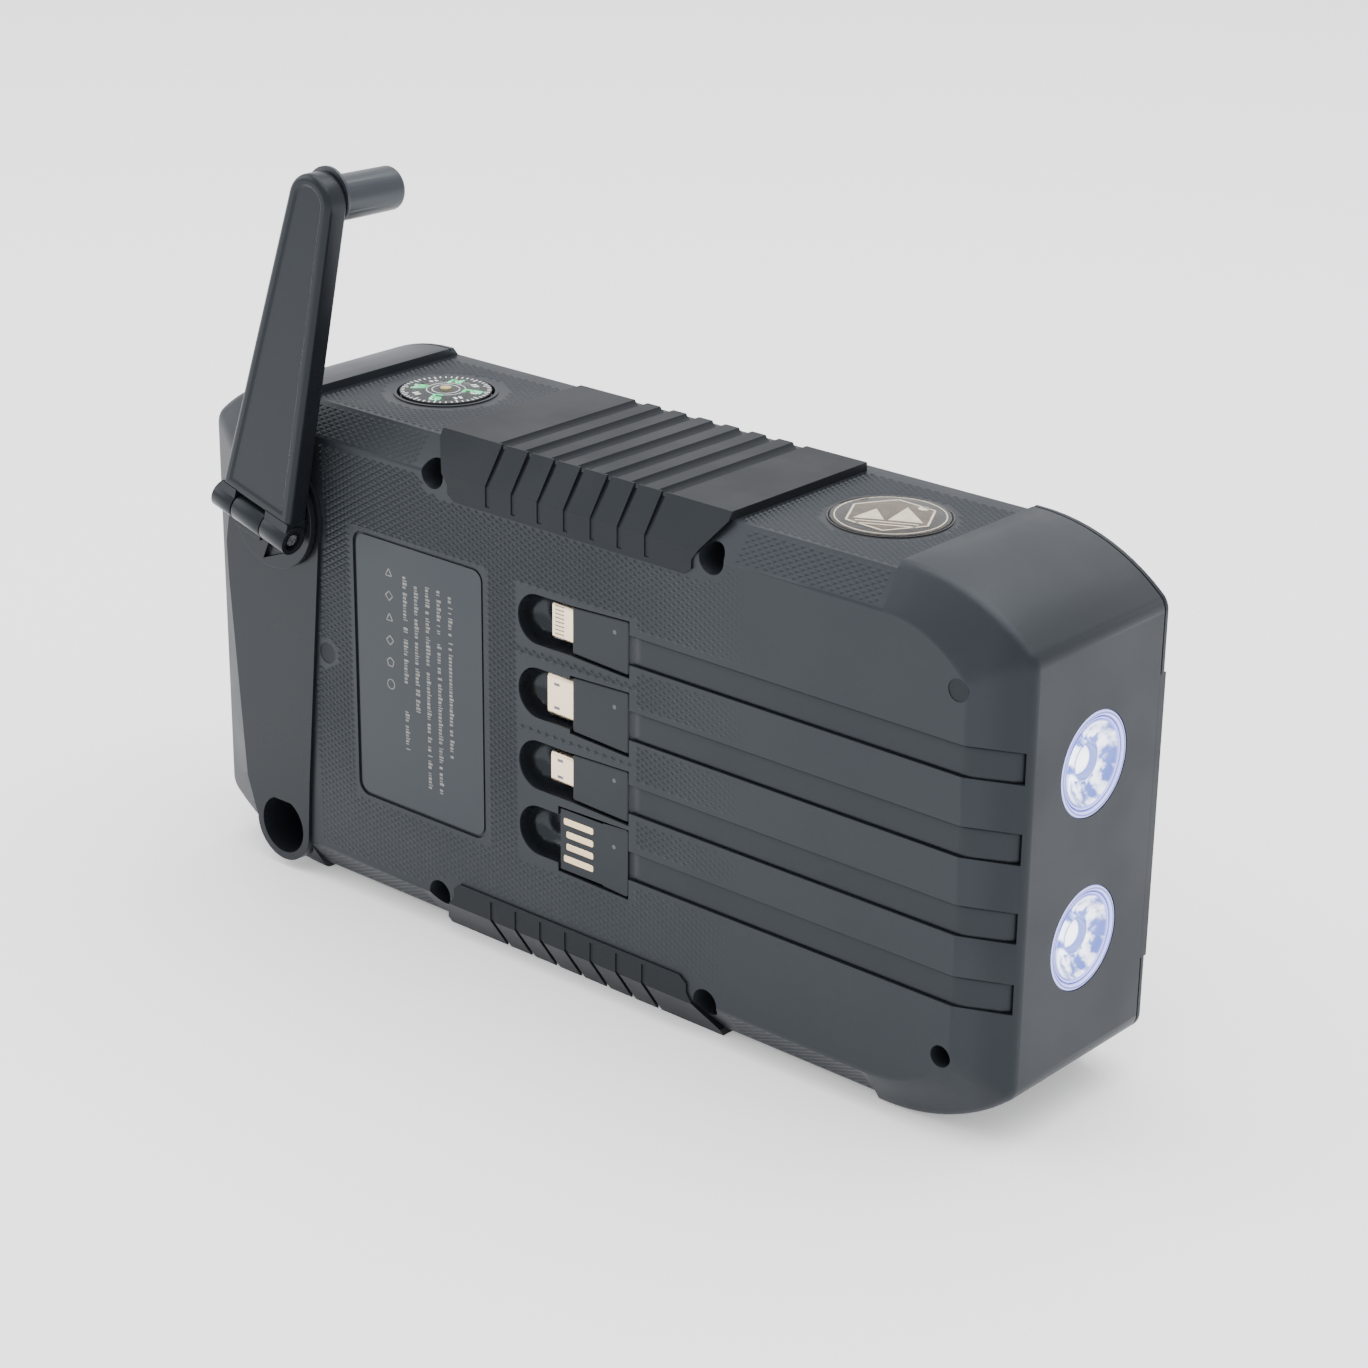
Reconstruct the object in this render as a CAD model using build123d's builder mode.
"""Hand-crank emergency power unit with two torches, four built-in leads, a compass and a solar panel.

Frame: +X runs along the body to the torch end, +Y from the cable face to the solar face, +Z up.
The body stands on its long narrow side. The origin is the centre of that underside.
Sizes are in millimetres.
"""
from math import acos, cos, pi, radians, sin, tan
import os

from build123d import *

os.makedirs("parts", exist_ok=True)

# ---------------------------------------------------------------- body
half_length = 92.0
height = 94.0
mid_z = height / 2
front_y = -21.5
crease_y = -17.3
parting_y = 17.3
back_y = 21.5
seal_height = 0.85
band_rise = 1.5          # how far bumpers and grips stand proud of the textured sides
bumper_x = 66.0          # where each end bumper starts
corner_run, corner_drop = 25.0, 10.0
end_blend = 3.5          # rounding between a corner arc and the straight end
crease_rounding, face_rounding = 2.0, 1.5
frame_straight_y = 18.4
seam_width, seam_depth = 0.3, 0.4             # shadow gap round the parting line
face_half_length = 82.4
face_margin = 6.9        # from the underside to the cable face's lower edge
frame_half_length, frame_margin, frame_run, frame_drop = 87.5, 4.0, 22.0, 9.0
face_run, face_drop = 16.4, 8.1
front_wall = 4.5
side_wall = 3.5
hollow_top = height - side_wall
fit_gap = 0.3            # between pieces that move past each other

# ---------------------------------------------------------------- leads and their pockets
lead_heights = (66.5, 53.1, 39.7, 27.4)
lead_width = 4.8
lead_face_y, lead_back_y = -20.6, -18.9
lead_mid_y = (lead_face_y + lead_back_y) / 2
lead_half_thickness = (lead_back_y - lead_face_y) / 2
lead_bend_x = 80.6
lead_root_x = 81.8
channel_gap = 0.25
plug_x0, plug_x1 = 0.9, 13.7
plug_face_y, plug_back_y = -21.2, -17.0
plug_tip_heights = (8.4, 10.0, 8.5, 11.7)
plug_end_heights = (9.6, 11.1, 9.4, 12.4)
tongue_x0, tongue_x1, tongue_back_y = -1.9, 7.8, -19.0       # the bare tongue of the widest plug
contact_x1, contact_width, contact_depth = 5.7, 1.3, 0.25
contact_places = ((-1.2, -3.5), (-0.6, -1.15), (-0.6, 1.15), (-1.2, 3.5))   # left end, height from middle
pocket_floor_y = -16.6
pocket_x0, pocket_x1 = -11.4, 14.1
scoop_half_height, scoop_rounding = 4.6, 3.0
pocket_slab_y = -14.4
pocket_slab_x, pocket_slab_width, pocket_slab_height = 1.5, 30.0, 56.0
thin_wall, thin_wall_x, thin_wall_width, thin_wall_height = 2.0, -29.0, 30.0, 64.0
metal_lengths = (5.85, 6.6, 6.1)
metal_widths = (6.7, 8.25, 5.9)
metal_thicknesses = (1.5, 2.4, 1.9)

# ---------------------------------------------------------------- crank
crank_x, crank_z = -70.7, 71.3
arm_reach = 61.9
well_x, well_z = -72.4, 8.6
well_radius, well_flat, well_rim = 5.5, 5.0, 7.0
well_end_y = -1.0
bed_face_y, bed_back_y = -22.2, -20.3
bed_radius = 11.2
rotor_radius = 10.5
rotor_back_y, rotor_face_y = -22.5, -23.8
hinge_y = -27.0
hinge_radius = 2.7
barrel_left, barrel_right = -9.5, 9.7         # ends of the hinge barrel, along the hinge
knuckle_left, knuckle_right = -4.3, 3.4       # middles of the two gaps along the hinge
web_bottom, web_top = -2.4, 1.6
pad_left, pad_right, pad_bottom, pad_top, pad_height = -7.4, -0.7, -6.2, -2.2, 0.95
pocket_corners = [(1.2, -3.0), (4.8, -6.1), (0.0, -9.6)]
pocket_depth = 0.9
pin_hole_radius, pin_hole_depth = 1.9, 1.2
arm_half_thickness = 2.25
arm_offset = -0.3             # the arm's middle plane, from the hinge axis towards the body
arm_root = 3.0
arm_root_left, arm_root_right = -8.3, 9.4
arm_shift = 0.6               # the tip's offset along the hinge
arm_tip_radius = 5.15
arm_inner, arm_outer = arm_offset - arm_half_thickness, arm_offset + arm_half_thickness
arm_rounding, back_rounding = 1.1, 0.6
panel_inset, panel_depth, panel_taper = 1.7, 0.3, 60
arm_lean = radians(1.2)       # how far the arm leans back towards the body at rest
crank_turn = radians(15.0)    # how far the crank stands clockwise of straight up at rest
knob_radius, knob_length = 4.0, 15.3
knob_cut, knob_cut_length = 1.4, 9.2          # slanted flat on the side towards the hinge
collar_rise, collar_height = 0.8, 0.6
pin_radius, pin_clearance = 1.1, 0.05
shaft_radius, shaft_clearance = 3.0, 0.05
bush_radius = 4.2

# ---------------------------------------------------------------- gears
gear_module = 0.8
wheel_teeth, pinion_teeth = 30, 12
addendum, dedendum = 0.75 * gear_module, 1.1 * gear_module
pressure_angle = radians(20)
backlash = 0.22
gear_centres = gear_module * (wheel_teeth + pinion_teeth) / 2
idler_bearing, generator_bearing = -30.0, -90.0      # degrees from +X towards +Z
idler_x = crank_x + gear_centres * cos(radians(idler_bearing))
idler_z = crank_z + gear_centres * sin(radians(idler_bearing))
generator_x = idler_x + gear_centres * cos(radians(generator_bearing))
generator_z = idler_z + gear_centres * sin(radians(generator_bearing))
stage_1_y, stage_2_y = -9.4, -5.1
gear_width = 3.4
plate_1_y, plate_2_y = -13.7, -1.5           # the rear face of each gearbox plate
plate_thickness = 1.5
axle_radius = 1.5
generator_radius, generator_end_y = 12.0, 11.0

# ---------------------------------------------------------------- screws
case_screw_places = [(x, z) for x in (-31.5, 31.5) for z in (7.3, height - 7.3)]
case_screw_places += [(80.6, 15.2), (80.9, 77.8)]
corner_screw_places = case_screw_places[4:]
gearbox_screw_place = (-59.3, 46.5)
plug_places = [corner_screw_places[1], gearbox_screw_place]
screw_hole_radius, corner_hole_radius = 2.6, 1.9
screw_bore_radius, gearbox_thread_radius = 1.7, 0.9
small_hole_radius = 2.0
boss_radius, post_radius = 4.0, 2.8
screw_seat_y, screw_end_y = -9.0, 9.0
boss_end_y = -2.0
gearbox_seat_y = -18.0
head_radius, head_height, thread_radius = 1.75, 1.7, 1.2
recess_length, recess_width, recess_depth = 2.2, 0.6, 1.0

# ---------------------------------------------------------------- torches, dials, panel, ports
torch_heights = (62.1, 32.0)
torch_radius = 8.9
compass_x, compass_radius = -50.6, 9.4
badge_x, badge_radius = 49.9, 10.3
dial_y = 1.0
side_top = height - band_rise
panel_x0, panel_x1 = -78.0, 68.0
panel_z0, panel_z1 = 11.0, 83.0
panel_back_y = 19.9
panel_centre = ((panel_x0 + panel_x1) / 2, (panel_z0 + panel_z1) / 2)
rib_y, rib_height, rib_depth = 19.0, 50.0, 4.0       # raised rib of the frame at the torch end
light_pitch, light_start, light_radius = 5.0, 11.0, 1.15
button_x, button_radius = 79.0, 4.4
button_travel = 0.8
board_y, board_thickness = 13.8, 1.6
flap_z0, flap_z1 = 21.5, 58.5
flap_y0, flap_axis_y = -13.0, 8.5
flap_thickness = 1.6
flap_seat_depth = 2.0
usb_a_places = ((-6.5, 32.0), (-6.5, 48.5))
usb_c_place, micro_place = (3.4, 32.0), (3.4, 48.5)
usb_a_size, usb_c_size, micro_size = (5.8, 13.2), (3.2, 9.0), (2.8, 7.6)
flap_outer_x = -half_length + 0.1
flap_axis_x = flap_outer_x + flap_thickness / 2
label_x0, label_x1, label_z0, label_z1 = -51.9, -19.7, 21.3, 72.2
label_depth = 0.5


def facing(y):
    """Plane at depth y whose sketch axes are X and Z; an extrusion goes towards the cable side."""
    return Plane.XZ.offset(-y)


def across(x):
    """Plane at length x whose sketch axes are Y and Z; an extrusion goes towards the torch end."""
    return Plane.YZ.offset(x)


def level(z):
    """Horizontal plane at height z."""
    return Plane.XY.offset(z)


hinge_axis = Vector(cos(crank_turn), 0, -sin(crank_turn))
crank_up = Vector(sin(crank_turn), 0, cos(crank_turn))
arm_along = crank_up * cos(arm_lean) + Vector(0, 1, 0) * sin(arm_lean)
arm_outward = hinge_axis.cross(arm_along)
hinge_point = Vector(crank_x, hinge_y, crank_z)


light_places = [(button_x, mid_z + light_start + light_pitch * k) for k in range(4)]


def crank_plane(y):
    """Plane at depth y, turned with the crank: sketch axes lie along the hinge and up the crank."""
    return Plane(origin=(crank_x, y, crank_z), x_dir=hinge_axis, z_dir=(0, -1, 0))


def arm_plane(out=0.0):
    """Plane parallel to the arm, out from the hinge axis, drawn along the hinge and along the arm."""
    return Plane(origin=hinge_point + arm_outward * out, x_dir=hinge_axis, z_dir=arm_outward)


def hinge_section(along):
    """Plane square to the hinge axis, at a distance along it from the crank's centre."""
    return Plane(origin=hinge_point + hinge_axis * along, x_dir=(0, -1, 0), z_dir=hinge_axis)


def save(builder, name):
    """Label the finished piece and write it as its own STEP file."""
    builder.part.label = name
    export_step(builder.part, f"parts/{name}.step")


def knob_plane():
    """Plane through the knob's axis, drawn along the arm and outward."""
    return Plane(origin=hinge_point + hinge_axis * arm_shift, x_dir=arm_along, z_dir=hinge_axis)


def body_outline(plane, half, low, run, drop):
    """Long side profile of the body, with its four corners cut by convex arcs."""
    top = height - low
    with BuildSketch(plane) as outline:
        with BuildLine():
            Polyline((0, top), (half - run, top))
            TangentArc((half - run, top), (half, top - drop), tangent=(1, 0))
            Line((half, top - drop), (half, low + drop))
            TangentArc((half - run, low), (half, low + drop), tangent=(1, 0))
            Line((half - run, low), (0, low))
            mirror(about=Plane.YZ)
        make_face()
        for end in (0, -1):
            fillet(outline.vertices().group_by(Axis.X)[end], end_blend)
    return outline.sketch


def full_outline(plane, inset=0.0):
    """Outline at the widest part of the body, drawn in by inset."""
    return body_outline(plane, half_length - inset, inset, corner_run, corner_drop)


def face_outline(plane):
    """Outline of the flat cable face."""
    return body_outline(plane, face_half_length, face_margin, face_run, face_drop)


def side_band(inner, outer):
    """Y and Z profile between two lines that follow the bevel and the top side."""
    return inner + outer[::-1]


def bevel_line(rise, hook_z, end_y):
    """Line down the top side, over the bevel and onto the cable face, rise above the textured side."""
    return [(end_y, side_top + rise), (crease_y - 0.2 * rise, side_top + rise),
            (front_y - 0.25 * rise, height - face_margin + 0.35 * rise), (front_y - 0.25 * rise, hook_z)]


def extrude_profile(points, x0, x1, mode):
    """Extrude a Y and Z profile from x0 to x1."""
    with BuildSketch(across(x0)) as profile:
        with BuildLine():
            Polyline(*points, close=True)
        make_face()
    extrude(profile.sketch, amount=x1 - x0, mode=mode)


def underside(points):
    """The same profile mirrored to the underside."""
    return [(y, height - z) for y, z in points]


def side_recess():
    """Profile of what is cut from the top side, to leave its textured middle lower."""
    beyond = 3.0
    line = bevel_line(0.0, height - face_margin, back_y + beyond)[:3]
    return line + [(front_y - beyond, height - face_margin), (front_y - beyond, height + beyond),
                   (back_y + beyond, height + beyond)]


def well_outline(plane, radius, flat):
    """Round well with a flat on the side towards the hinge."""
    with BuildSketch(plane) as outline:
        with Locations((well_x, well_z)):
            Circle(radius)
        with Locations((well_x, well_z + flat + radius)):
            Rectangle(4 * radius, 2 * radius, mode=Mode.SUBTRACT)
    return outline.sketch


def bed_outline(plane):
    """Strip that the crank folds down onto: round at the rotor, narrowing to the well's rim."""
    with BuildSketch(plane) as outline:
        with BuildLine():
            Polyline((-59.9, 70.0), (-60.9, 60.0), (-64.7, 19.0), (well_x + well_rim, well_z),
                     (well_x - well_rim, well_z), (-81.9, 16.0), (-84.7, 54.0), (-85.0, 62.0),
                     (-83.6, 69.5), (-79.2, 77.0), close=True)
        make_face()
        with Locations((crank_x, crank_z)):
            Circle(bed_radius)
        with Locations((well_x, well_z)):
            Circle(well_rim)
    return outline.sketch


def pocket_tip_height(index):
    """Half the height of a plug's pocket at its tip end."""
    return plug_tip_heights[index] / 2 + fit_gap


def pocket_outline(plane, index):
    """Tapered pocket round a plug."""
    left = (plug_x0 if index < len(metal_lengths) else tongue_x0) - fit_gap
    centre, tip = lead_heights[index], pocket_tip_height(index)
    end = plug_end_heights[index] / 2 + fit_gap
    with BuildSketch(plane) as outline:
        with BuildLine():
            Polyline((left, centre + tip), (pocket_x1, centre + end), (pocket_x1, centre - end),
                     (left, centre - tip), close=True)
        make_face()
    return outline.sketch


def build_scoop(index):
    """Rounded hollow for a plug's metal tip, and beside it for lifting it with a finger."""
    reach = min(pocket_tip_height(index), scoop_half_height)
    left, right = pocket_x0 + reach, plug_x0 + reach
    with BuildPart() as scoop:
        with BuildSketch(facing(pocket_floor_y)):
            with Locations((left, lead_heights[index])):
                Circle(reach)
            with Locations(((left + right) / 2, lead_heights[index])):
                Rectangle(right - left, 2 * reach)
        extrude(amount=pocket_floor_y - front_y + 1)
        fillet(scoop.edges().group_by(Axis.Y)[-1], scoop_rounding)
    return scoop.part


def lead_profile(grow=0.0):
    """X and Y profile of a lead's fixed end: over the end bevel and in through the corner slot."""
    front = lead_face_y - 6 * grow
    return [(lead_root_x, front), (82.4, front), (91.0 + grow, -16.9 - 6 * grow), (91.0 + grow, -15.9),
            (89.6 + grow, -13.2 + grow), (87.4 - grow, -13.2 + grow), (87.8 - grow, -16.2),
            (82.0 - grow, lead_back_y + grow), (lead_root_x, lead_back_y + grow)]


# ================================================================ case shell
scoops = [build_scoop(index) for index in range(len(lead_heights))]
with BuildPart() as case_shell:
    extrude(full_outline(facing(parting_y)), amount=parting_y - crease_y)
    loft([full_outline(facing(crease_y)).face(), face_outline(facing(front_y)).face()], ruled=True)
    for crease, radius in ((crease_y, crease_rounding), (front_y, face_rounding)):
        fillet(case_shell.edges().filter_by_position(Axis.Y, crease - 0.01, crease + 0.01), radius)
    hollow = full_outline(facing(parting_y), inset=side_wall)
    extrude(hollow, amount=parting_y - front_y - front_wall, mode=Mode.SUBTRACT)
    with BuildSketch(facing(front_y + front_wall)):
        with Locations((thin_wall_x, mid_z)):
            Rectangle(thin_wall_width, thin_wall_height)
    extrude(amount=front_wall - thin_wall, mode=Mode.SUBTRACT)
    for profile in (side_recess(), underside(side_recess())):
        extrude_profile(profile, -bumper_x, bumper_x, Mode.SUBTRACT)
    # slab that carries the pockets' floors
    with BuildSketch(facing(pocket_slab_y)):
        with Locations((pocket_slab_x, mid_z)):
            Rectangle(pocket_slab_width, pocket_slab_height)
    extrude(amount=pocket_slab_y - front_y - front_wall)
    # screw bosses
    with BuildSketch(facing(boss_end_y)):
        with Locations(*case_screw_places):
            Circle(boss_radius)
    extrude(amount=boss_end_y - front_y - front_wall)
    with BuildSketch(facing(screw_seat_y)):
        with Locations(*case_screw_places[:4]):
            Circle(screw_hole_radius)
        with Locations(*corner_screw_places):
            Circle(corner_hole_radius)
    extrude(amount=screw_seat_y - front_y, mode=Mode.SUBTRACT)
    with BuildSketch(facing(boss_end_y)):
        with Locations(*case_screw_places):
            Circle(screw_bore_radius)
    extrude(amount=boss_end_y - screw_seat_y, mode=Mode.SUBTRACT)
    # pockets and finger scoops
    for index, centre in enumerate(lead_heights):
        outline = pocket_outline(facing(pocket_floor_y), index)
        extrude(outline, amount=pocket_floor_y - front_y + 1, mode=Mode.SUBTRACT)
        add(scoops[index], mode=Mode.SUBTRACT)
        with BuildSketch(facing(lead_back_y + channel_gap)):
            with Locations(((plug_x1 + lead_root_x + 0.4) / 2, centre)):
                Rectangle(lead_root_x + 0.4 - plug_x1, lead_width + 2 * channel_gap)
        extrude(amount=lead_back_y + channel_gap - front_y + 1, mode=Mode.SUBTRACT)
        with BuildSketch(level(centre - lead_width / 2 - channel_gap)):
            with BuildLine():
                Polyline(*lead_profile(grow=channel_gap), close=True)
            make_face()
        extrude(amount=lead_width + 2 * channel_gap, mode=Mode.SUBTRACT)
    # torch openings
    with BuildSketch(across(half_length - side_wall)):
        with Locations(*[(0, z) for z in torch_heights]):
            Circle(torch_radius)
    extrude(amount=side_wall, mode=Mode.SUBTRACT)
    with BuildSketch(level(hollow_top)):
        with Locations((compass_x, dial_y)):
            Circle(compass_radius)
    extrude(amount=side_wall, mode=Mode.SUBTRACT)
    with BuildSketch(level(side_top - 0.8)):
        with Locations((badge_x, dial_y)):
            Circle(badge_radius)
    extrude(amount=band_rise + 1, mode=Mode.SUBTRACT)
    # recess for the rating label
    with BuildSketch(facing(front_y + label_depth)):
        with Locations(((label_x0 + label_x1) / 2, (label_z0 + label_z1) / 2)):
            RectangleRounded(label_x1 - label_x0, label_z1 - label_z0, 2.5)
    extrude(amount=label_depth, mode=Mode.SUBTRACT)
    # seat of the crank bed, the crank's shaft hole and the gearbox screw's hole
    extrude(bed_outline(facing(bed_back_y)), amount=bed_back_y - front_y + 1, mode=Mode.SUBTRACT)
    with BuildSketch(facing(pocket_slab_y)):
        with Locations((crank_x, crank_z)):
            Circle(bush_radius)
    extrude(amount=pocket_slab_y - front_y + 1, mode=Mode.SUBTRACT)
    with BuildSketch(facing(gearbox_seat_y)):
        with Locations(gearbox_screw_place):
            Circle(small_hole_radius)
    extrude(amount=gearbox_seat_y - front_y, mode=Mode.SUBTRACT)
    with BuildSketch(facing(front_y + front_wall)):
        with Locations(gearbox_screw_place):
            Circle(gearbox_thread_radius + fit_gap)
    extrude(amount=front_wall, mode=Mode.SUBTRACT)
    # the corner well's tube passes through the wall
    with BuildSketch(facing(well_end_y)):
        with Locations((well_x, well_z)):
            Circle(well_rim)
    extrude(amount=well_end_y - front_y, mode=Mode.SUBTRACT)
    # recess and windows for the ports at the crank end
    with BuildSketch(across(-half_length - 1)):
        with Locations(((flap_y0 + flap_axis_y + 1.2) / 2, (flap_z0 + flap_z1) / 2)):
            Rectangle(flap_axis_y + 1.2 - flap_y0 + fit_gap, flap_z1 - flap_z0 + 2 * fit_gap)
    extrude(amount=1 + flap_seat_depth, mode=Mode.SUBTRACT)
    with BuildSketch(across(-half_length)):
        for places, size in ((usb_a_places, usb_a_size), ([usb_c_place], usb_c_size),
                             ([micro_place], micro_size)):
            with Locations(*places):
                Rectangle(size[0] + 0.2, size[1] + 0.2)
    extrude(amount=side_wall, mode=Mode.SUBTRACT)
    seal_seat = full_outline(facing(parting_y), inset=2.0) - full_outline(facing(parting_y), inset=3.0)
    extrude(seal_seat, amount=seal_height + 0.05, mode=Mode.SUBTRACT)
save(case_shell, "case_shell")

# ================================================================ solar frame, seal and panel
with BuildPart() as solar_frame:
    rim = body_outline(facing(back_y), frame_half_length, frame_margin, frame_run, frame_drop)
    extrude(full_outline(facing(parting_y + seam_width), inset=seam_depth), amount=seam_width)
    extrude(full_outline(facing(frame_straight_y)), amount=frame_straight_y - parting_y - seam_width)
    loft([full_outline(facing(frame_straight_y)).face(), rim.face()], ruled=True)
    for edge_z in (height, 0.0):
        with BuildSketch(across(-bumper_x)):
            with Locations(((parting_y + back_y) / 2, edge_z)):
                Rectangle(back_y - parting_y + 2, 2 * band_rise)
        extrude(amount=2 * bumper_x, mode=Mode.SUBTRACT)
    with BuildSketch(across(half_length - rib_depth)):
        with Locations(((parting_y + rib_y) / 2, mid_z)):
            Rectangle(rib_y - parting_y, rib_height)
    extrude(amount=rib_depth)
    with BuildSketch(facing(back_y)):
        with Locations(panel_centre):
            RectangleRounded(panel_x1 - panel_x0, panel_z1 - panel_z0, 3.0)
    extrude(amount=back_y - panel_back_y, mode=Mode.SUBTRACT)
    # screw posts reach down to the case's bosses
    with BuildSketch(facing(parting_y)):
        with Locations(*case_screw_places):
            Circle(post_radius)
    extrude(amount=parting_y - boss_end_y)
    with BuildSketch(facing(screw_end_y + 1)):
        with Locations(*case_screw_places):
            Circle(thread_radius)
    extrude(amount=screw_end_y + 1 - boss_end_y, mode=Mode.SUBTRACT)
    # button hole and light holes
    with BuildSketch(facing(back_y)):
        with Locations((button_x, mid_z)):
            Circle(button_radius + 0.25)
        with Locations(*light_places):
            Circle(light_radius + 0.05)
    extrude(amount=back_y - parting_y, mode=Mode.SUBTRACT)
    with BuildSketch(facing(parting_y + 2.0)):
        with Locations((button_x, mid_z)):
            Circle(button_radius + 1.6)
    extrude(amount=2.0, mode=Mode.SUBTRACT)
save(solar_frame, "solar_frame")

with BuildPart() as seal_ring:
    extrude(full_outline(facing(parting_y), inset=2.05), amount=seal_height)
    extrude(full_outline(facing(parting_y), inset=2.95), amount=seal_height, mode=Mode.SUBTRACT)
save(seal_ring, "seal_ring")

with BuildPart() as solar_panel:
    with BuildSketch(facing(back_y - 0.15)):
        with Locations(panel_centre):
            RectangleRounded(panel_x1 - panel_x0 - 0.4, panel_z1 - panel_z0 - 0.4, 2.8)
    extrude(amount=back_y - 0.15 - panel_back_y)
save(solar_panel, "solar_panel")

# ================================================================ grips
grip_half_width, grip_bevel_half_width = 32.5, 27.6
grip_hook_z = height - 11.0
grip_end_y = 17.0
groove_pitch, groove_count = 6.0, 7
valley_radius, valley_offset = 1.55, 0.5      # the grooves' round section on the long sides
groove_width, groove_depth = 1.0, 0.8          # the grooves over the bevel
foot_half_width = 4.0                          # plain band that the unit stands on


def build_grip(flipped):
    """Rubber grip over one long side: top band, bevel and a short hook onto the cable face."""
    turn = underside if flipped else list
    whole_run = [(crease_y, grip_end_y)]
    runs = [(crease_y, -foot_half_width), (foot_half_width, grip_end_y)] if flipped else whole_run
    with BuildPart() as grip:
        inner = bevel_line(0.0, grip_hook_z, grip_end_y)
        outer = bevel_line(band_rise, grip_hook_z, grip_end_y)
        extrude_profile(turn(side_band(inner, outer)), -grip_half_width, grip_half_width, Mode.ADD)
        # the ends draw in over the bevel, to pass beside the screw holes
        for side in (-1, 1):
            with BuildSketch(facing(crease_y)) as trim:
                with BuildLine():
                    corner = [(grip_half_width, side_top + 0.1),
                              (grip_bevel_half_width, height - 8.2),
                              (grip_bevel_half_width, height - 9.8),
                              (grip_bevel_half_width - 1.6, grip_hook_z)]
                    line = [(side * x, z) for x, z in corner]
                    line += [(side * 40.0, grip_hook_z - 1), (side * 40.0, side_top + 0.1)]
                    Polyline(*(line if not flipped else [(x, height - z) for x, z in line]), close=True)
                make_face()
            extrude(trim.sketch, amount=10.0, mode=Mode.SUBTRACT)
        floor = bevel_line(band_rise - groove_depth, grip_hook_z + 0.9, crease_y + 0.5)
        beyond = [(front_y - 4, grip_hook_z + 0.9), (front_y - 4, height + 3), (crease_y + 0.5, height + 3)]
        for k in range(groove_count):
            middle = (k - (groove_count - 1) / 2) * groove_pitch
            extrude_profile(turn(floor + beyond), middle - groove_width / 2, middle + groove_width / 2,
                            Mode.SUBTRACT)
            valley_z = height + valley_offset
            for start, end in runs:
                with BuildSketch(facing(end)):
                    with Locations((middle, height - valley_z if flipped else valley_z)):
                        Circle(valley_radius)
                extrude(amount=end - start, mode=Mode.SUBTRACT)
    return grip


grip_top = build_grip(flipped=False)
save(grip_top, "grip_top")
grip_bottom = build_grip(flipped=True)
save(grip_bottom, "grip_bottom")

# ================================================================ label and badge
with BuildPart() as rating_label:
    with BuildSketch(facing(front_y + label_depth)):
        with Locations(((label_x0 + label_x1) / 2, (label_z0 + label_z1) / 2)):
            RectangleRounded(label_x1 - label_x0 - 1.2, label_z1 - label_z0 - 1.2, 2.0)
    extrude(amount=0.3)
save(rating_label, "rating_label")

with BuildPart() as badge_plate:
    with BuildSketch(level(side_top - 0.8)):
        with Locations((badge_x, dial_y)):
            Circle(badge_radius)
    extrude(amount=1.0)
save(badge_plate, "badge_plate")


def dome(radius, rise, base_z, x):
    """Shallow spherical cap on a horizontal face."""
    sphere_radius = (radius ** 2 + rise ** 2) / (2 * rise)
    with BuildPart() as cap:
        with BuildSketch(Plane.XZ.offset(-dial_y)):
            with BuildLine():
                Line((x, base_z), (x + radius, base_z))
                RadiusArc((x + radius, base_z), (x, base_z + rise), -sphere_radius)
                Line((x, base_z + rise), (x, base_z))
            make_face()
        revolve(axis=Axis((x, dial_y, 0), (0, 0, 1)))
    return cap


badge_dome = dome(badge_radius - 0.2, 1.1, side_top + 0.2, badge_x)
save(badge_dome, "badge_dome")

# ================================================================ compass
cup_floor_z, dial_z = 86.0, 89.2
with BuildPart() as compass_cup:
    with BuildSketch(level(cup_floor_z)):
        with Locations((compass_x, dial_y)):
            Circle(compass_radius)
    extrude(amount=side_top + 0.2 - cup_floor_z)
    with BuildSketch(level(cup_floor_z + 1.0)):
        with Locations((compass_x, dial_y)):
            Circle(compass_radius - 1.2)
    extrude(amount=side_top + 1 - cup_floor_z, mode=Mode.SUBTRACT)
    with BuildSketch(level(side_top - 0.6)):
        with Locations((compass_x, dial_y)):
            Circle(compass_radius - 0.6)
    extrude(amount=1.0, mode=Mode.SUBTRACT)
    with BuildSketch(level(cup_floor_z + 1.0)):
        with Locations((compass_x, dial_y)):
            Circle(0.6)
    extrude(amount=dial_z - cup_floor_z - 1.3)
save(compass_cup, "compass_cup")

with BuildPart() as compass_dial:
    with BuildSketch(level(dial_z)):
        with Locations((compass_x, dial_y)):
            Circle(compass_radius - 1.7)
    extrude(amount=0.5)
    with BuildSketch(level(dial_z - 1.2)):
        with Locations((compass_x, dial_y)):
            Circle(1.6)
            Circle(0.65, mode=Mode.SUBTRACT)
    extrude(amount=1.2)
save(compass_dial, "compass_dial")

compass_lens = dome(compass_radius - 0.65, 1.9, side_top - 0.6, compass_x)
save(compass_lens, "compass_lens")

# ================================================================ torches
lens_face_x = half_length - 0.5
reflector_x0, reflector_x1 = 76.0, 89.4
with BuildPart() as torch_lenses:
    with BuildSketch(across(reflector_x1)):
        with Locations(*[(0, z) for z in torch_heights]):
            Circle(torch_radius - 0.05)
    extrude(amount=lens_face_x - reflector_x1)
save(torch_lenses, "torch_lenses")

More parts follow.
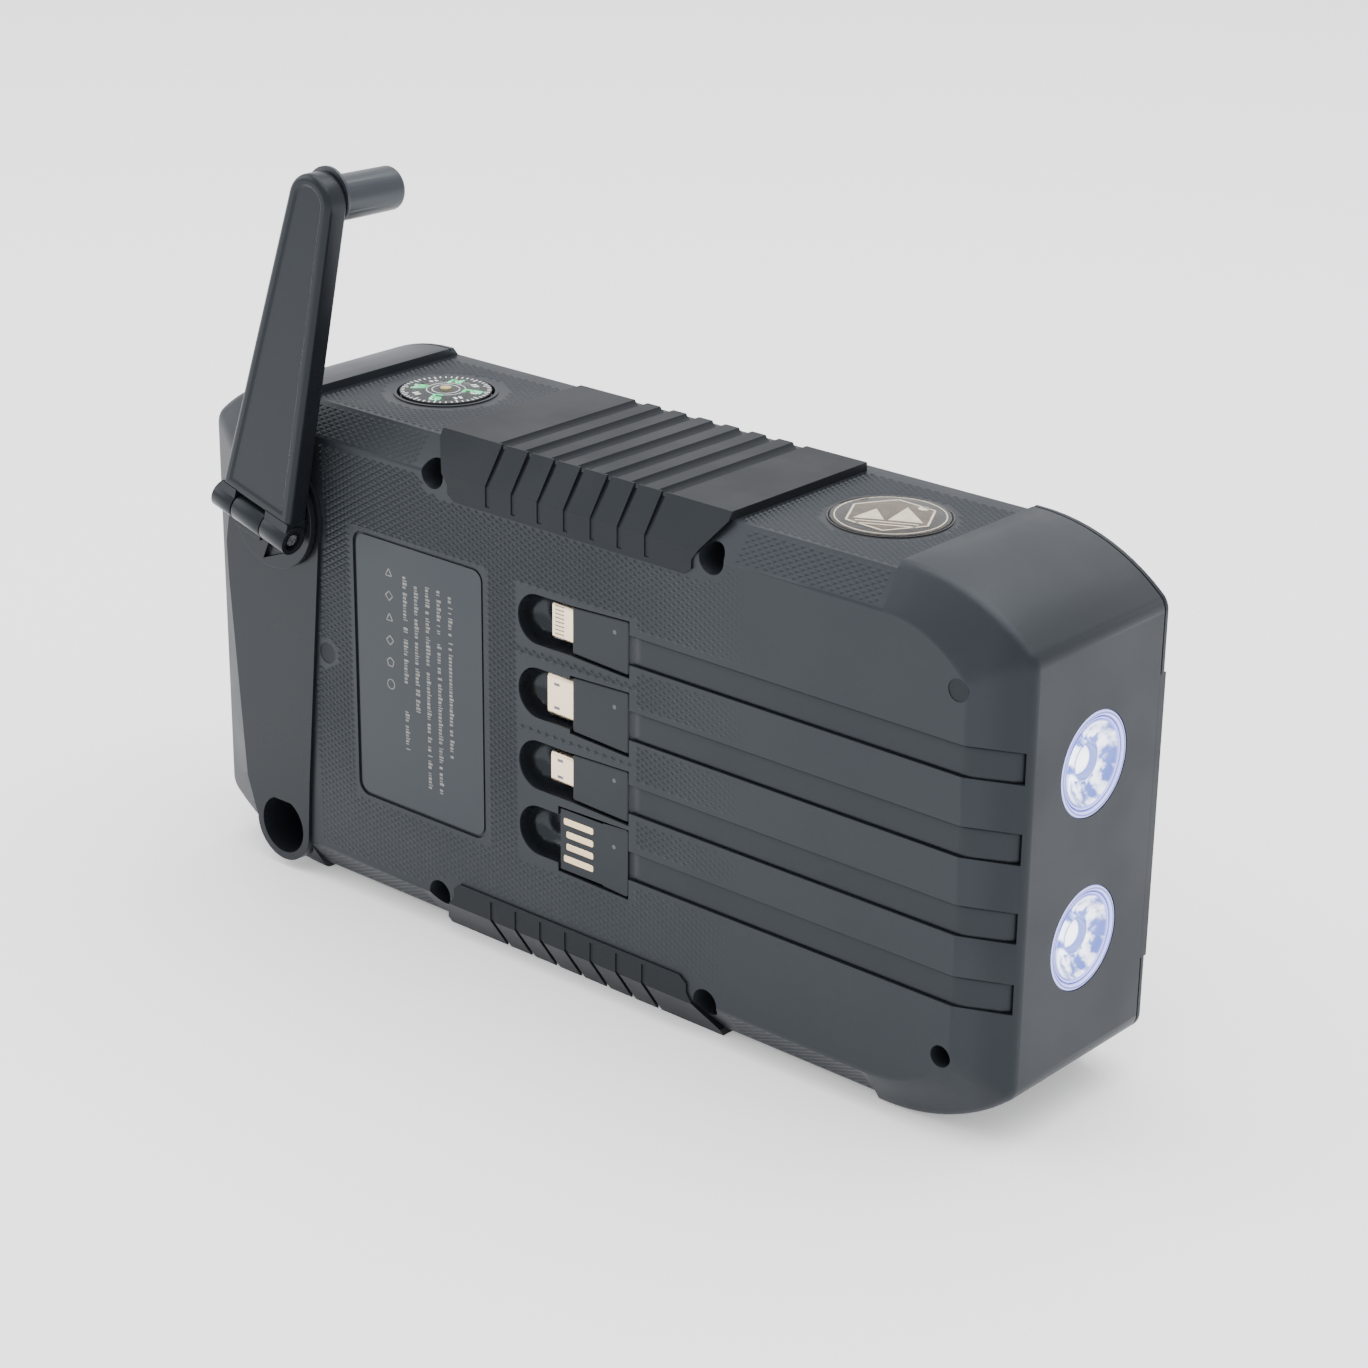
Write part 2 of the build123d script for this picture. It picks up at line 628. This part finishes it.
with BuildPart() as torch_reflectors:
    for z in torch_heights:
        with BuildSketch(facing(0.0)):
            with BuildLine():
                Polyline((reflector_x0, z + 2.6), (reflector_x0, z + 5.2),
                         (reflector_x1 - 5.0, z + torch_radius - 0.1), (reflector_x1, z + torch_radius - 0.1),
                         (reflector_x1, z + torch_radius - 1.0))
                ThreePointArc((reflector_x1, z + torch_radius - 1.0), (reflector_x0 + 5.0, z + 6.4),
                              (reflector_x0, z + 2.6))
            make_face()
        revolve(axis=Axis((0, 0, z), (1, 0, 0)))
save(torch_reflectors, "torch_reflectors")

torch_board_x = 74.0
with BuildPart() as torch_board:
    with BuildSketch(across(torch_board_x)):
        with Locations((0, mid_z)):
            RectangleRounded(16.0, 50.0, 2.0)
    extrude(amount=board_thickness)
save(torch_board, "torch_board")

with BuildPart() as torch_leds:
    with BuildSketch(across(torch_board_x + board_thickness)):
        with Locations(*[(0, z) for z in torch_heights]):
            Rectangle(3.4, 3.4)
    extrude(amount=0.8)
    with BuildSketch(across(torch_board_x + board_thickness + 0.8)):
        with Locations(*[(0, z) for z in torch_heights]):
            Circle(1.4)
    extrude(amount=1.2)
save(torch_leds, "torch_leds")

# ================================================================ battery and electronics
cell_count, cell_depth, cell_y0 = 3, 7.6, -12.6
cell_x0, cell_x1, cell_z0, cell_z1 = -42.5, 59.0, 13.0, 81.0
for index in range(cell_count):
    with BuildPart() as battery_cell:
        with BuildSketch(facing(cell_y0 + (index + 1) * cell_depth - 0.2)):
            with Locations(((cell_x0 + cell_x1) / 2, (cell_z0 + cell_z1) / 2)):
                Rectangle(cell_x1 - cell_x0, cell_z1 - cell_z0)
        extrude(amount=cell_depth - 0.2)
        fillet(battery_cell.edges().filter_by(Axis.Y), 2.0)
    save(battery_cell, f"battery_cell_{index + 1}")

with BuildPart() as main_board:
    with BuildSketch(facing(board_y)):
        with Locations((21.5, mid_z)):
            Rectangle(127.0, 66.0)
        with Locations(*case_screw_places):
            Circle(boss_radius + fit_gap, mode=Mode.SUBTRACT)
    extrude(amount=board_thickness)
save(main_board, "main_board")

with BuildPart() as board_parts:
    with BuildSketch(facing(board_y + 1.8)):
        with Locations((-20, 60), (-20, 35), (15, 62), (40, 30)):
            Rectangle(9.0, 9.0)
        with Locations((50, 62), (62, 62)):
            Rectangle(7.0, 10.0)
    extrude(amount=1.8)
    with BuildSketch(facing(board_y + 0.9)):
        with Locations((button_x, mid_z)):
            Rectangle(5.0, 5.0)
    extrude(amount=0.9)
save(board_parts, "board_parts")

button_face_y = back_y + 0.9
with BuildPart() as power_button:
    with BuildSketch(facing(button_face_y)):
        with Locations((button_x, mid_z)):
            Circle(button_radius)
    extrude(amount=button_face_y - parting_y - 1.6)
    fillet(power_button.edges().group_by(Axis.Y)[-1], 0.5)
    with BuildSketch(facing(parting_y + 1.7)):
        with Locations((button_x, mid_z)):
            Circle(button_radius + 1.2)
    extrude(amount=0.8)
    with BuildSketch(facing(parting_y + 1.0)):
        with Locations((button_x, mid_z)):
            Circle(1.4)
    extrude(amount=parting_y + 1.0 - board_y - 0.9 - button_travel - 0.2)
save(power_button, "power_button")

with BuildPart() as charge_lights:
    with BuildSketch(facing(back_y)):
        with Locations(*light_places):
            Circle(light_radius)
    extrude(amount=back_y - board_y - 0.2)
save(charge_lights, "charge_lights")

# ================================================================ ports behind a flap
port_mouth_x, port_end_x = -88.9, -77.0


def build_port(places, size, metal, name):
    """Open-mouthed metal sockets with a contact tongue inside each."""
    width, tall = size
    with BuildPart() as port:
        with BuildSketch(across(port_mouth_x)):
            with Locations(*places):
                Rectangle(width, tall)
        extrude(amount=port_end_x - port_mouth_x)
        with BuildSketch(across(port_mouth_x)):
            with Locations(*places):
                Rectangle(width - 2 * metal, tall - 2 * metal)
        extrude(amount=port_end_x - port_mouth_x - 1.5, mode=Mode.SUBTRACT)
        with BuildSketch(across(port_mouth_x + 1.2)):
            with Locations(*places):
                Rectangle(0.28 * (width - 2 * metal), tall - 4 * metal)
        extrude(amount=port_end_x - port_mouth_x - 2.0)
    save(port, name)


build_port(usb_a_places, usb_a_size, 0.4, "usb_a_ports")
build_port([usb_c_place], usb_c_size, 0.3, "usb_c_port")
build_port([micro_place], micro_size, 0.3, "micro_port")

with BuildPart() as port_board:
    with BuildSketch(across(port_end_x)):
        with Locations((-2.0, 40.0)):
            Rectangle(18.0, 33.0)
    extrude(amount=board_thickness)
save(port_board, "port_board")

with BuildPart() as port_flap:
    with BuildSketch(across(flap_outer_x)):
        with Locations(((flap_y0 + flap_axis_y) / 2, (flap_z0 + flap_z1) / 2)):
            Rectangle(flap_axis_y - flap_y0, flap_z1 - flap_z0)
    extrude(amount=flap_thickness)
    fillet(port_flap.edges().filter_by(Axis.X).group_by(Axis.Y)[0], 3.0)
    with BuildSketch(level(flap_z0)):
        with Locations((flap_axis_x, flap_axis_y)):
            Circle(flap_thickness / 2)
    extrude(amount=flap_z1 - flap_z0)
    # finger nail notch
    with BuildSketch(across(flap_outer_x)):
        with Locations((flap_y0, mid_z - 7)):
            Rectangle(1.6, 9.0)
    extrude(amount=0.8, mode=Mode.SUBTRACT)
save(port_flap, "port_flap")

# ================================================================ fasteners
with BuildPart() as case_screws:
    with BuildSketch(facing(screw_seat_y)):
        with Locations(*case_screw_places):
            Circle(head_radius)
    extrude(amount=head_height)
    with BuildSketch(facing(screw_end_y)):
        with Locations(*case_screw_places):
            Circle(thread_radius - 0.02)
    extrude(amount=screw_end_y - screw_seat_y)
    with BuildSketch(facing(screw_seat_y - head_height + recess_depth)):
        with Locations(*case_screw_places):
            Rectangle(recess_length, recess_width)
            Rectangle(recess_width, recess_length)
    extrude(amount=recess_depth, mode=Mode.SUBTRACT)
save(case_screws, "case_screws")

with BuildPart() as screw_plugs:
    with BuildSketch(facing(front_y + 1.5)):
        with Locations(plug_places[0]):
            Circle(corner_hole_radius)
        with Locations(plug_places[1]):
            Circle(small_hole_radius)
    extrude(amount=1.4)
save(screw_plugs, "screw_plugs")

# ================================================================ crank bed and bush
with BuildPart() as crank_bed:
    extrude(bed_outline(facing(bed_back_y)), amount=bed_back_y - bed_face_y)
    with BuildSketch(facing(well_end_y)):
        with Locations((well_x, well_z)):
            Circle(well_rim - 0.05)
    extrude(amount=well_end_y - bed_back_y)
    well = well_outline(facing(well_end_y - 1.2), well_radius, well_flat)
    extrude(well, amount=well_end_y - 1.2 - bed_face_y, mode=Mode.SUBTRACT)
    with BuildSketch(facing(bed_back_y)):
        with Locations((crank_x, crank_z)):
            Circle(shaft_radius + fit_gap)
    extrude(amount=bed_back_y - bed_face_y, mode=Mode.SUBTRACT)
save(crank_bed, "crank_bed")

with BuildPart() as crank_bush:
    with BuildSketch(facing(plate_1_y)):
        with Locations((crank_x, crank_z)):
            Circle(bush_radius)
            Circle(shaft_radius + shaft_clearance, mode=Mode.SUBTRACT)
    extrude(amount=plate_1_y - bed_back_y)
save(crank_bush, "crank_bush")

# ================================================================ crank rotor
shaft_end_y = -0.2
with BuildPart() as crank_rotor:
    with BuildSketch(crank_plane(rotor_back_y)):
        Circle(rotor_radius)
    extrude(amount=rotor_back_y - rotor_face_y)
    with BuildSketch(crank_plane(shaft_end_y)):
        Circle(shaft_radius)
    extrude(amount=shaft_end_y - rotor_back_y)
    knuckle_x0, knuckle_x1 = knuckle_left + fit_gap / 2, knuckle_right - fit_gap / 2
    with BuildSketch(crank_plane(rotor_face_y)):
        with Locations(((knuckle_x0 + knuckle_x1) / 2, (web_bottom + web_top) / 2)):
            Rectangle(knuckle_x1 - knuckle_x0, web_top - web_bottom)
    extrude(amount=rotor_face_y - hinge_y)
    with BuildSketch(crank_plane(rotor_face_y)):
        with Locations(((pad_left + pad_right) / 2, (pad_bottom + pad_top) / 2)):
            Rectangle(pad_right - pad_left, pad_top - pad_bottom)
    extrude(amount=pad_height)
    with BuildSketch(crank_plane(rotor_face_y + pocket_depth)):
        with BuildLine():
            Polyline(*pocket_corners, close=True)
        make_face()
    extrude(amount=pocket_depth, mode=Mode.SUBTRACT)
    with BuildSketch(hinge_section(knuckle_x0)):
        Circle(hinge_radius)
    extrude(amount=knuckle_x1 - knuckle_x0)
    with BuildSketch(hinge_section(knuckle_x0)):
        Circle(pin_radius)
    extrude(amount=knuckle_x1 - knuckle_x0, mode=Mode.SUBTRACT)
save(crank_rotor, "crank_rotor")

with BuildPart() as hinge_pin:
    with BuildSketch(hinge_section(barrel_left + 0.6)):
        Circle(pin_radius)
    extrude(amount=barrel_right - barrel_left - 1.0)
save(hinge_pin, "hinge_pin")

with BuildPart() as shaft_clip:
    with BuildSketch(crank_plane(shaft_end_y - 0.3)):
        Circle(4.6)
        Circle(shaft_radius, mode=Mode.SUBTRACT)
    extrude(amount=0.8)
save(shaft_clip, "shaft_clip")

# ================================================================ crank arm and knob
def arm_outline(plane, shrink=0.0):
    """Arm outline from above its knuckles to its round tip, drawn in by shrink."""
    tip = arm_tip_radius - shrink
    with BuildSketch(plane) as outline:
        with BuildLine():
            Polyline((arm_shift - tip, arm_reach), (arm_root_left + shrink, arm_root + shrink),
                     (arm_root_right - shrink, arm_root + shrink), (arm_shift + tip, arm_reach), close=True)
        make_face()
        with Locations((arm_shift, arm_reach)):
            Circle(tip)
    return outline.sketch


with BuildPart() as crank_arm:
    extrude(arm_outline(arm_plane(arm_inner)), amount=2 * arm_half_thickness)
    fillet(crank_arm.faces().sort_by(Axis(hinge_point, arm_outward))[-1].edges(), arm_rounding)
    fillet(crank_arm.faces().sort_by(Axis(hinge_point, arm_outward))[0].edges(), back_rounding)
    recess = arm_outline(arm_plane(arm_outer), panel_inset)
    extrude(recess, amount=-panel_depth, taper=panel_taper, mode=Mode.SUBTRACT)
    for start, end in ((barrel_left, knuckle_left - fit_gap / 2),
                       (knuckle_right + fit_gap / 2, barrel_right)):
        left, right = max(start, arm_root_left), min(end, arm_root_right)
        with BuildSketch(arm_plane(arm_inner)):
            with Locations(((left + right) / 2, (arm_root + 0.6) / 2)):
                Rectangle(right - left, arm_root + 0.6)
        extrude(amount=2 * arm_half_thickness)
        with BuildSketch(hinge_section(start)):
            Circle(hinge_radius)
        extrude(amount=end - start)
    with BuildSketch(hinge_section(barrel_left + 0.6)):
        Circle(pin_radius + pin_clearance)
    extrude(amount=barrel_right - barrel_left, mode=Mode.SUBTRACT)
    with BuildSketch(hinge_section(barrel_right - pin_hole_depth)):
        Circle(pin_hole_radius)
    extrude(amount=pin_hole_depth, mode=Mode.SUBTRACT)
save(crank_arm, "crank_arm")

with BuildPart() as crank_knob:
    with BuildSketch(arm_plane(arm_inner)):
        with Locations((arm_shift, arm_reach)):
            Circle(knob_radius)
    extrude(amount=-knob_length, taper=0.5)
    fillet(crank_knob.edges().group_by(Axis.Y)[-1], 0.8)
    flat_along = arm_reach - knob_radius
    with BuildSketch(knob_plane()):
        with BuildLine():
            Polyline((flat_along - 1.0, arm_inner), (flat_along + knob_cut, arm_inner),
                     (flat_along, arm_inner - knob_cut_length),
                     (flat_along - 1.0, arm_inner - knob_cut_length),
                     close=True)
        make_face()
    extrude(amount=knob_radius, both=True, mode=Mode.SUBTRACT)
    with BuildSketch(arm_plane(arm_inner)):
        with Locations((arm_shift, arm_reach + collar_rise)):
            Circle(arm_tip_radius)
    extrude(amount=-collar_height)
save(crank_knob, "crank_knob")


# ================================================================ gear train
def involute(radius, base):
    """Involute function of the pressure angle at a radius."""
    if radius <= base:
        return 0.0
    angle = acos(base / radius)
    return tan(angle) - angle


def gear_points(teeth, start):
    """Outline of a spur gear whose first tooth points to the angle start, in degrees."""
    pitch = gear_module * teeth / 2
    base, root, tip = pitch * cos(pressure_angle), pitch - dedendum, pitch + addendum
    half_tooth = (pi / 2 - backlash / gear_module / 2) / teeth + involute(pitch, base)
    flank = [root] + [max(base, root) + (tip - max(base, root)) * k / 4 for k in range(5)]
    flank = [r for k, r in enumerate(flank) if k == 0 or r > root + 1e-6]
    points = []
    for tooth in range(teeth):
        middle = radians(start) + 2 * pi * tooth / teeth
        rising = [(r, middle - half_tooth + involute(r, base)) for r in flank]
        falling = [(r, 2 * middle - angle) for r, angle in reversed(rising)]
        points += [(r * cos(a), r * sin(a)) for r, a in rising + falling]
    return points


def gear_solid(x, z, y, teeth, start, width=gear_width):
    """Spur gear at a shaft's place, with its rear face at depth y."""
    with BuildSketch(Plane(origin=(x, y, z), x_dir=(1, 0, 0), z_dir=(0, -1, 0))) as outline:
        with BuildLine():
            Polyline(*gear_points(teeth, start), close=True)
        make_face()
    extrude(outline.sketch, amount=width)


with BuildPart() as drive_gear:
    gear_solid(crank_x, crank_z, stage_1_y, wheel_teeth, idler_bearing)
    with BuildSketch(crank_plane(stage_1_y)):
        Circle(shaft_radius)
    extrude(amount=gear_width, mode=Mode.SUBTRACT)
save(drive_gear, "drive_gear")

with BuildPart() as idler_gear:
    gear_solid(idler_x, idler_z, stage_1_y, pinion_teeth, idler_bearing + 180 - 180 / pinion_teeth)
    gear_solid(idler_x, idler_z, stage_2_y, wheel_teeth, generator_bearing)
    with BuildSketch(facing(stage_2_y)):
        with Locations((idler_x, idler_z)):
            Circle(3.4)
    extrude(amount=stage_2_y - stage_1_y)
    with BuildSketch(facing(stage_2_y)):
        with Locations((idler_x, idler_z)):
            Circle(axle_radius + pin_clearance)
    extrude(amount=20.0, mode=Mode.SUBTRACT)
save(idler_gear, "idler_gear")

with BuildPart() as generator_pinion:
    pinion_turn = generator_bearing + 180 - 180 / pinion_teeth
    gear_solid(generator_x, generator_z, stage_2_y, pinion_teeth, pinion_turn)
    with BuildSketch(facing(stage_2_y)):
        with Locations((generator_x, generator_z)):
            Circle(axle_radius)
    extrude(amount=gear_width, mode=Mode.SUBTRACT)
save(generator_pinion, "generator_pinion")

with BuildPart() as idler_axle:
    with BuildSketch(facing(plate_2_y)):
        with Locations((idler_x, idler_z)):
            Circle(axle_radius)
    extrude(amount=plate_2_y - plate_1_y + plate_thickness)
save(idler_axle, "idler_axle")

plate_lobe_radius = 9.0
shaft_places = ((crank_x, crank_z), (idler_x, idler_z), (generator_x, generator_z))


def plate_outline(plane):
    """Gearbox plate around the three shafts."""
    with BuildSketch(plane) as outline:
        with BuildLine() as rims:
            for place in shaft_places:
                CenterArc(place, plate_lobe_radius, 0, 360)
        make_hull(rims.edges())
    return outline.sketch


with BuildPart() as gearbox_front_plate:
    extrude(plate_outline(facing(plate_1_y)), amount=plate_thickness)
    with BuildSketch(facing(plate_1_y)):
        with Locations((crank_x, crank_z)):
            Circle(bush_radius)
        with Locations((idler_x, idler_z)):
            Circle(axle_radius)
        with Locations(gearbox_screw_place):
            Circle(gearbox_thread_radius)
    extrude(amount=plate_thickness, mode=Mode.SUBTRACT)
save(gearbox_front_plate, "gearbox_front_plate")

with BuildPart() as gearbox_rear_plate:
    extrude(plate_outline(facing(plate_2_y)), amount=plate_thickness)
    with BuildSketch(facing(plate_2_y)):
        with Locations((crank_x, crank_z)):
            Circle(shaft_radius + shaft_clearance)
        with Locations((idler_x, idler_z)):
            Circle(axle_radius)
        with Locations((generator_x, generator_z)):
            Circle(axle_radius + pin_clearance)
    extrude(amount=plate_thickness, mode=Mode.SUBTRACT)
save(gearbox_rear_plate, "gearbox_rear_plate")

# ================================================================ generator
with BuildPart() as generator_can:
    with BuildSketch(facing(generator_end_y)):
        with Locations((generator_x, generator_z)):
            Circle(generator_radius)
    extrude(amount=generator_end_y - plate_2_y)
    with BuildSketch(facing(generator_end_y - 1.0)):
        with Locations((generator_x, generator_z)):
            Circle(generator_radius - 0.8)
    extrude(amount=generator_end_y - 1.0 - plate_2_y, mode=Mode.SUBTRACT)
save(generator_can, "generator_can")

with BuildPart() as stator_coils:
    with BuildSketch(facing(generator_end_y - 2.0)):
        with Locations((generator_x, generator_z)):
            Circle(generator_radius - 0.8)
            Circle(generator_radius - 3.0, mode=Mode.SUBTRACT)
    extrude(amount=generator_end_y - plate_2_y - 3.0)
save(stator_coils, "stator_coils")

with BuildPart() as generator_rotor:
    with BuildSketch(facing(generator_end_y - 2.0)):
        with Locations((generator_x, generator_z)):
            Circle(generator_radius - 3.4)
    extrude(amount=generator_end_y - plate_2_y - 3.0)
    with BuildSketch(facing(generator_end_y - 1.3)):
        with Locations((generator_x, generator_z)):
            Circle(axle_radius)
    extrude(amount=generator_end_y - 1.3 - stage_2_y + gear_width)
save(generator_rotor, "generator_rotor")

with BuildPart() as gearbox_screw:
    with BuildSketch(facing(gearbox_seat_y)):
        with Locations(gearbox_screw_place):
            Circle(small_hole_radius - 0.2)
    extrude(amount=1.4)
    with BuildSketch(facing(plate_1_y)):
        with Locations(gearbox_screw_place):
            Circle(gearbox_thread_radius)
    extrude(amount=plate_1_y - gearbox_seat_y)
save(gearbox_screw, "gearbox_screw")

# ================================================================ leads
plug_names = ("phone", "usb_c", "micro", "usb_a")


def contact_outlines(centre):
    """The four bare contacts of the widest plug; its outer two reach further forward."""
    with BuildSketch(facing(plug_face_y + contact_depth)) as outline:
        for left, rise in contact_places:
            with Locations(((left + contact_x1) / 2, centre + rise)):
                RectangleRounded(contact_x1 - left, contact_width, 0.35)
    return outline.sketch


for index, centre in enumerate(lead_heights):
    kind = plug_names[index]
    low = centre - lead_width / 2
    with BuildPart() as lead_strap:
        with BuildSketch(level(low)):
            with Locations(((plug_x1 + lead_bend_x) / 2, lead_mid_y)):
                Rectangle(lead_bend_x - plug_x1, 2 * lead_half_thickness)
            with Locations((lead_bend_x, lead_mid_y)):
                Circle(lead_half_thickness)
        extrude(amount=lead_width)
    save(lead_strap, f"{kind}_lead")

    tip, end = plug_tip_heights[index] / 2, plug_end_heights[index] / 2
    left = plug_x0 if index < len(metal_lengths) else tongue_x1
    with BuildPart() as plug_body:
        with BuildSketch(facing(plug_back_y)):
            with BuildLine():
                Polyline((left, centre + tip), (plug_x1, centre + end), (plug_x1, centre - end),
                         (left, centre - tip), close=True)
            make_face()
        extrude(amount=plug_back_y - plug_face_y)
        fillet(plug_body.edges().filter_by(Axis.Y), 0.5)
        if index == len(metal_lengths):
            with BuildSketch(facing(tongue_back_y)):
                with Locations(((tongue_x0 + tongue_x1 + 1.0) / 2, centre)):
                    Rectangle(tongue_x1 + 1.0 - tongue_x0, 2 * tip - 0.3)
            extrude(amount=tongue_back_y - plug_face_y)
            extrude(contact_outlines(centre), amount=contact_depth, mode=Mode.SUBTRACT)
    save(plug_body, f"{kind}_plug")

    with BuildPart() as plug_metal:
        if index < len(metal_lengths):
            thick = metal_thicknesses[index]
            with BuildSketch(across(plug_x0 - metal_lengths[index])):
                with Locations(((plug_face_y + plug_back_y) / 2, centre)):
                    RectangleRounded(thick, metal_widths[index], thick / 2 - 0.05)
            extrude(amount=metal_lengths[index])
        else:
            extrude(contact_outlines(centre), amount=contact_depth)
    save(plug_metal, f"{kind}_tip")

with BuildPart() as lead_roots:
    for centre in lead_heights:
        with BuildSketch(level(centre - lead_width / 2)):
            with BuildLine():
                Polyline(*lead_profile(), close=True)
            make_face()
        extrude(amount=lead_width)
save(lead_roots, "lead_roots")
